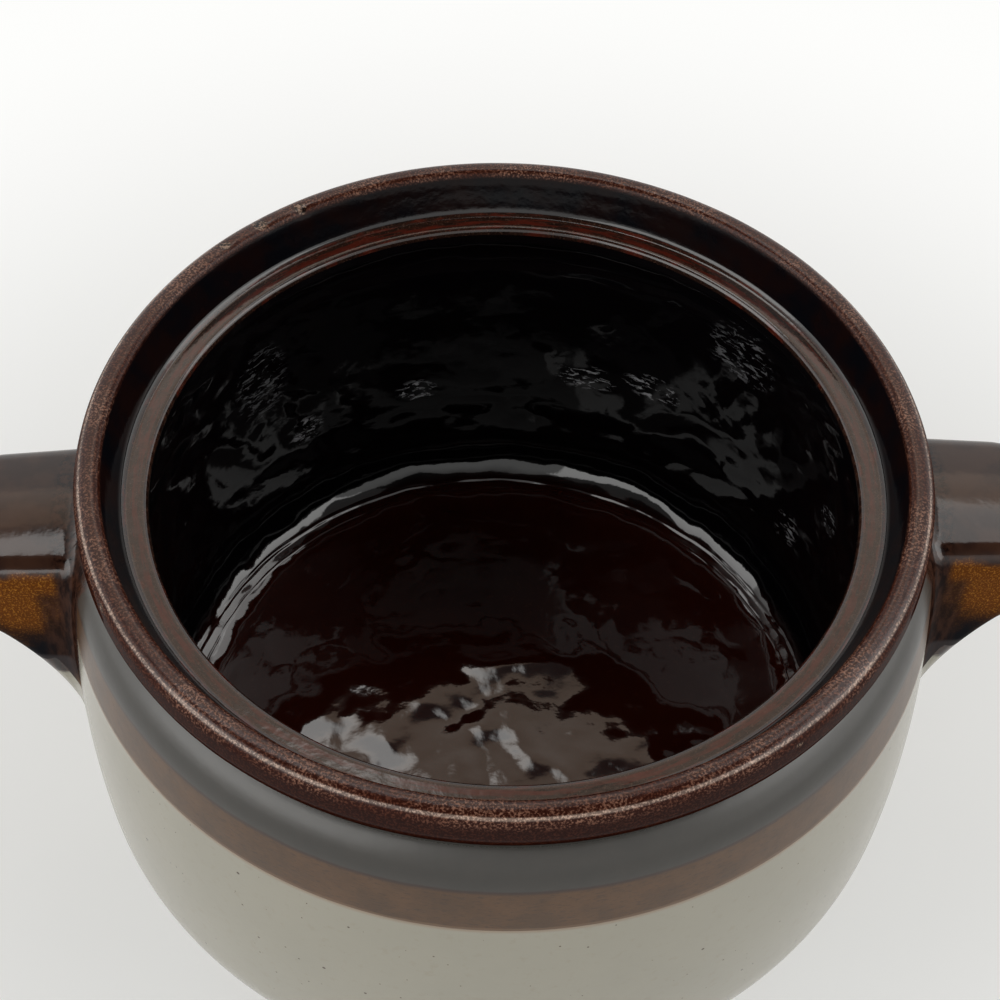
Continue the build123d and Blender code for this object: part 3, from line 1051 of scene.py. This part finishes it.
def handle_distance(x, y, z):
    """How far points are from the wall and lug together, with the corner between them smoothed."""
    points = np.array((x, y, z))
    meeting = (growth(lug_distance, points, PROBE) * growth(wall_distance, points, PROBE)).sum(axis=0)
    lug, wall = lug_distance(x, y, z), wall_distance(x, y, z)
    corner = SMOOTHED_CORNER * np.clip((z - HANDLE_HEEL) / CORNER_GROWS, LEAST_CORNER, 1)
    return -rounded(-lug, -wall, np.clip(meeting, -MOST_ALIKE, MOST_ALIKE), corner)


def uphill(points, probe):
    """The way that the surface looks at points near it."""
    slope = growth(handle_distance, points, probe)
    return slope / np.maximum(np.linalg.norm(slope, axis=0), PROBE)


print("the wall behind the handles has", len(wall_levels), "levels")

# %% [markdown]
# The skin of the handle starts as a rough sheet that is roughly where it should be: loops round the
# lug, from near the wall to the tip, and a last loop that has shrunk to a point. Then every point walks
# down the distance until it is on the surface. The walk is short, so the loops stay even.

# %% Press a sheet onto the lug
LOOPS_SIDE, LOOPS_NOSE = 40, 26
ROUND_LOOP = 200
SQUARENESS = 0.6
NEAR_WALL = 92.0
FIRST_LOOP = 6.0
WALK_STEPS = 12


def rough_sheet():
    """Rows of points round the right lug, from near the wall out to the middle of its tip."""
    turn = np.linspace(0, 2 * pi, ROUND_LOOP, endpoint=False)
    sides = np.sign(np.cos(turn)) * np.abs(np.cos(turn)) ** SQUARENESS
    rises = np.sign(np.sin(turn)) * np.abs(np.sin(turn)) ** SQUARENESS
    nose_start = HANDLE_REACH - HANDLE_END_ROUND
    side = [(k / LOOPS_SIDE, 0.0) for k in range(LOOPS_SIDE)]
    nose = [(1.0, k / LOOPS_NOSE * pi / 2) for k in range(LOOPS_NOSE + 1)]
    rows = []
    for share, bend in side + nose:
        x = np.full(ROUND_LOOP, NEAR_WALL + share * (nose_start - NEAR_WALL))
        for _ in range(3):
            along = (x - HANDLE_ROOT) / (HANDLE_REACH - HANDLE_ROOT)
            y = sides * cos(bend) * (HANDLE_HALF_WIDTH - HANDLE_TAPER * along)
            top = top_level(x, y)
            reach_left = UNDERSIDE_SWEEP**2 - (x - UNDERSIDE_CENTRE[0]) ** 2
            under = UNDERSIDE_CENTRE[1] + np.sqrt(np.maximum(reach_left, 1))
            z = (top + under) / 2 + rises * cos(bend) * (top - under) / 2
            first = np.sqrt(wall_radius(z) ** 2 - y**2) + FIRST_LOOP
            x = first + share * (nose_start - first) + (HANDLE_REACH - nose_start) * sin(bend)
        rows.append(np.array((x, y, z)))
    return np.stack(rows, axis=1)


def pressed(points):
    """Walks points straight down to the surface of the handle."""
    for _ in range(WALK_STEPS):
        points = points - handle_distance(*points) * uphill(points, PROBE)
    return points


lug_rows = pressed(rough_sheet())
print("skin of the lug:", lug_rows.shape[1], "loops of", lug_rows.shape[2], "points")

# %% [markdown]
# In the corner between lug and wall, such a walk would bunch the loops up. So a loop of evenly spaced
# points is laid on the wall, a little way from the lug. Straight rows join it to the first loop of the
# lug, and they are pressed down too. Last, the edge of the sheet is sunk into the glaze of the wall.

# %% Press the sheet into the corner
LOOPS_FOOT = 32
LAST_LOOP = 4.9
SINK = 0.3
FOOT_MIDDLE = 75.0
FARTHEST_FOOT = 60.0
FINE_LOOP = 1600
HALVINGS = 30


def foot_loop():
    """Points on the wall a little way round the lug, evenly spaced in each quarter of the loop."""
    turn = np.linspace(0, 2 * pi, FINE_LOOP + 1)
    near, far = np.zeros_like(turn), np.full_like(turn, FARTHEST_FOOT)
    for _ in range(HALVINGS):
        reach = (near + far) / 2
        y, z = reach * np.cos(turn), FOOT_MIDDLE + reach * np.sin(turn)
        x = np.sqrt(wall_radius(z) ** 2 - y**2)
        inside = lug_distance(x, y, z) < LAST_LOOP
        near, far = np.where(inside, reach, near), np.where(inside, far, reach)
    loop = np.array((x, y, z))
    feet, quarter = [], FINE_LOOP // 4
    for start in range(0, FINE_LOOP, quarter):
        part = loop[:, start : start + quarter + 1]
        run = np.concatenate([[0], np.cumsum(np.linalg.norm(np.diff(part), axis=0))])
        spots = np.linspace(0, run[-1], ROUND_LOOP // 4, endpoint=False)
        feet.append([np.interp(spots, run, axis) for axis in part])
    return np.concatenate(feet, axis=1)


def foot_rows(first):
    """Rows of points from the wall to the first loop of the lug, before they are pressed."""
    feet = foot_loop()
    shares = np.linspace(0, 1, LOOPS_FOOT, endpoint=False)[:, None]
    return feet[:, None] + shares * (first - feet)[:, None]


def sunk(points):
    """Sinks the edge of the sheet into the glaze of the wall."""
    share = np.clip((lug_distance(*points) - SMOOTHED_CORNER) / (LAST_LOOP - SMOOTHED_CORNER), 0, 1)
    outward = np.array((points[0], points[1], np.zeros_like(points[0])))
    return points - share * SINK * outward / np.linalg.norm(outward, axis=0)


handle_skin = sunk(np.concatenate([pressed(foot_rows(lug_rows[:, 0])), lug_rows], axis=1))
print("handle skin:", handle_skin.shape[1], "rows of", handle_skin.shape[2], "points")

# %% [markdown]
# The sheet is cut where the brown glaze meets the white one. The pot was dipped by hand, so that line
# wanders, and it runs down in a point where the glaze gathered in the corner at the root. To cut along
# a wandering line, the sheet is first shifted by the drift of the line, cut level, and shifted back.

# %% Cut the sheet along the line between the glazes
CORNER_REACH = 95.5
CORNER_DEPTH = 4.0
POINT_DROP = 6.5


def line_drift(x, y):
    """How far the line between the glazes strays from its level at a place, in mm."""
    corner = np.clip((CORNER_REACH - np.hypot(x, y)) / CORNER_DEPTH, 0, 1)
    wander = 0.8 * np.sin(0.45 * y + 1.0) + 0.5 * np.sin(0.9 * x)
    return wander - POINT_DROP * corner**2 * (3 - 2 * corner)


def handle_sheet(above):
    """The skin of the right handle above or below the line, as a mesh in mm."""
    rows, count = handle_skin.shape[1:]
    sheet = bmesh.new()
    corners = [sheet.verts.new(point) for point in handle_skin.reshape(3, -1).T]
    for row in range(rows - 1):
        for place in range(count):
            beside = (place + 1) % count
            low, high = row * count, (row + 1) * count
            loop = (low + place, low + beside, high + beside, high + place)
            sheet.faces.new([corners[k] for k in loop])
    bmesh.ops.remove_doubles(sheet, verts=sheet.verts, dist=WELD / MM)
    for corner in sheet.verts:
        corner.co.z -= line_drift(corner.co.x, corner.co.y)
    everything = sheet.verts[:] + sheet.edges[:] + sheet.faces[:]
    ends = {"clear_inner": above, "clear_outer": not above}
    level = (0, 0, handle_line / MM)
    bmesh.ops.bisect_plane(sheet, geom=everything, plane_co=level, plane_no=(0, 0, 1), **ends)
    for corner in sheet.verts:
        corner.co.z += line_drift(corner.co.x, corner.co.y)
    bmesh.ops.recalc_face_normals(sheet, faces=sheet.faces)
    outermost = max(sheet.faces, key=lambda face: face.calc_center_median().x)
    if outermost.normal.x < 0:
        bmesh.ops.reverse_faces(sheet, faces=sheet.faces)
    sheet.verts.index_update()
    return sheet


print("the line drops by up to", POINT_DROP, "mm at the root of a handle")

# %% [markdown]
# Each part then gets the thickness of a coat, inwards, and is swung round to its side of the pot. The
# distance also says which way the surface looks at every point, so the coats carry those directions as
# their normals and shine without facets.

# %% Glaze the handles
COAT = 0.45
SMOOTH_PROBE = 0.25


def handle_coat(name, node, glaze, half_turn, above):
    """The part of a handle's skin above or below the line, as a closed coat."""
    sheet = handle_sheet(above)
    outside = np.array([corner.co for corner in sheet.verts]).T
    looks = uphill(outside, SMOOTH_PROBE)
    turn = np.array(rotation(half_turn, "Z").to_3x3())
    both = np.hstack([outside, outside - COAT * looks])
    count = outside.shape[1]
    outer = [[corner.index for corner in face.verts] for face in sheet.faces]
    inner = [[k + count for k in reversed(face)] for face in outer]
    ends = [loop for edge in sheet.edges if edge.is_boundary for loop in edge.link_loops]
    ends = [(loop.vert.index, loop.link_loop_next.vert.index) for loop in ends]
    rim = [(b, a, a + count, b + count) for a, b in ends]
    sheet.free()
    mesh = bpy.data.meshes.new(name)
    mesh.from_pydata((turn @ both).T * MM, [], outer + inner + rim)
    mesh.shade_smooth()
    mesh.set_sharp_from_angle(angle=CRISP)
    out = (turn @ looks).T
    normals = [out[k] for face in outer for k in face]
    normals += [-out[k - count] for face in inner for k in face]
    mesh.normals_split_custom_set(normals + [(0, 0, 0)] * (4 * len(rim)))
    mesh.materials.append(glaze)
    piece = placed(name, mesh)
    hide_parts(node)
    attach(piece, "root")
    print(name, "has", len(mesh.polygons), "faces,", len(rim), "of them along its edges")
    return piece


for side, half_turn in (("left", pi), ("right", 0)):
    brown_node, white_node = side + "_handle_brown_glaze", side + "_handle_white_glaze"
    handle_coat("fired_" + brown_node, brown_node, brown_finish, half_turn, True)
    handle_coat("fired_" + white_node, white_node, white_finish, half_turn, False)

# %% [markdown]
# ## Floor and light
#
# The pot stands on a plain pale floor that reaches past every view. Rays from the camera and from
# reflections see part of the floor as plain white of its own, so it looks white but keeps the soft
# shadow of the pot. That share grows away from the pot, so the floor meets the room without an edge.

# %% Lay the floor
NEUTRAL = (1.0, 1.0, 0.985)
FLOOR_HALF = 3.0
SUNK_FLOOR = -0.02 * MM
PALE = (0.80, 0.80, 0.785, 1)
OWN_WHITE = 0.46
FAR_WHITE = 0.97
NEAR_FLOOR = 0.10
FAR_FLOOR = 0.31


def floor_looks(tree):
    bench = Bench(tree)
    path = bench.node("ShaderNodeLightPath")
    seen = path.sum("MAXIMUM", path.out("Is Glossy Ray")).sum("MAXIMUM", path.out("Is Transmission Ray"))
    across, back, _ = bench.parts(bench.node("ShaderNodeTexCoord", None, None, "Object"))
    away = (across * across + back * back) ** 0.5
    own = OWN_WHITE + bench.step(away, NEAR_FLOOR, FAR_FLOOR) * (FAR_WHITE - OWN_WHITE)
    pale = bench.node("ShaderNodeBsdfDiffuse", None, {"Color": PALE})
    white = bench.node("ShaderNodeEmission", None, {"Color": (*NEUTRAL, 1), "Strength": 1.0})
    both = bench.node("ShaderNodeMixShader", None, {0: seen * own, 1: pale, 2: white})
    bench.node("ShaderNodeOutputMaterial", None, {"Surface": both})


floor_mesh = bpy.data.meshes.new("floor")
corners = ((-1, -1), (1, -1), (1, 1), (-1, 1))
corners = [(x * FLOOR_HALF, y * FLOOR_HALF, SUNK_FLOOR) for x, y in corners]
floor_mesh.from_pydata(corners, [], [(0, 1, 2, 3)])
floor = placed("floor", floor_mesh)
floor_material = bpy.data.materials.new("pale_floor")
floor_material.use_nodes = True
floor_material.node_tree.nodes.clear()
floor_looks(floor_material.node_tree)
floor_mesh.materials.append(floor_material)
print("the floor is", 2 * FLOOR_HALF, "m wide")

# %% [markdown]
# The light is that of a room: it comes from all round, but low down. Overhead it is dark, and so the
# gloss stays deep. Broad windows on both sides put the large highlights on the glaze, and smaller ones
# behind it light the liner. Whoever stands in front of the pot hides part of the room, so the gloss is
# dark there. Only the gloss sees the full light and all else gets half, which keeps dark glazes deep.
#
# A window is given by its degrees round from straight behind the pot, its degrees up, half its width
# and half its height at a distance of one, how bright it is, and its colour.

# %% Light the room
WARM = (1.0, 0.72, 0.52)
OVERHEAD_GLOW = 0.04
ROOM_GLOW = 1.15
SIDE_GLOW = 0.9
WINDOWS = [
    (100, 42, 0.42, 0.32, 2.6, NEUTRAL),
    (-122, 33, 0.50, 0.36, 2.6, NEUTRAL),
    (45, 60, 0.16, 0.12, 2.6, NEUTRAL),
    (-5, 52, 0.45, 0.14, 0.9, WARM),
    (-30, 66, 0.22, 0.06, 4.0, NEUTRAL),
]
DARK_FRONT = (176, 74, 0.75, 0.36)
FRONT_SHADE = 0.92
SOFTER = 0.5
WINDOW_EDGE = 0.05
IN_FRONT = (0.02, 0.10)
CEILING = (0.95, 0.62)
SIDES = (0.60, 0.95)


def aim_of(turn, rise):
    """A direction from the pot: degrees round from straight behind it to the right, and degrees up."""
    return rotation(radians(-turn), "Z") @ Vector((0, cos(radians(rise)), sin(radians(rise))))


def window(bench, look, turn, rise, half_width, half_height):
    """1 inside a soft-edged rectangle of the room's wall, and 0 outside it."""
    middle, right = aim_of(turn, rise), aim_of(turn + 90, 0)
    ways = (middle, right, right.cross(middle))
    ahead, aside, above = (bench.vectors("DOT_PRODUCT", look, way, "Value") for way in ways)
    across = bench.step((aside / ahead).sum("ABSOLUTE"), half_width + WINDOW_EDGE, half_width)
    upright = bench.step((above / ahead).sum("ABSOLUTE"), half_height + WINDOW_EDGE, half_height)
    return bench.step(ahead, *IN_FRONT) * across * upright


def room_looks(tree):
    tree.nodes.clear()
    bench = Bench(tree)
    path = bench.node("ShaderNodeLightPath")
    look = bench.node("ShaderNodeTexCoord")
    aside, _, rise = bench.parts(look)
    low = bench.step(rise, *CEILING)
    beside = bench.step(aside.sum("ABSOLUTE"), *SIDES)
    glow = OVERHEAD_GLOW + low * (ROOM_GLOW + beside * SIDE_GLOW)
    light = bench.scaled(NEUTRAL, glow)
    for turn, up, half_width, half_height, strength, colour in WINDOWS:
        pane = window(bench, look, turn, up, half_width, half_height) * strength
        light = bench.vectors("ADD", light, bench.scaled(colour, pane))
    kept = 1 - window(bench, look, *DARK_FRONT) * FRONT_SHADE
    kept = kept * (SOFTER + path.out("Is Glossy Ray") * (1 - SOFTER))
    light = bench.scaled(light, kept)
    seen = path.sum("MAXIMUM", path.out("Is Transmission Ray"))
    light = bench.mix(seen, light, (*NEUTRAL, 1))
    room = bench.node("ShaderNodeBackground", None, {"Color": light, "Strength": 1.0})
    bench.node("ShaderNodeOutputWorld", None, {"Surface": room})


room = bpy.data.worlds.new("room")
bpy.context.scene.world = room
room.use_nodes = True
room_looks(room.node_tree)
bpy.context.scene.view_settings.view_transform = "Standard"
print("windows in the room:", len(WINDOWS))
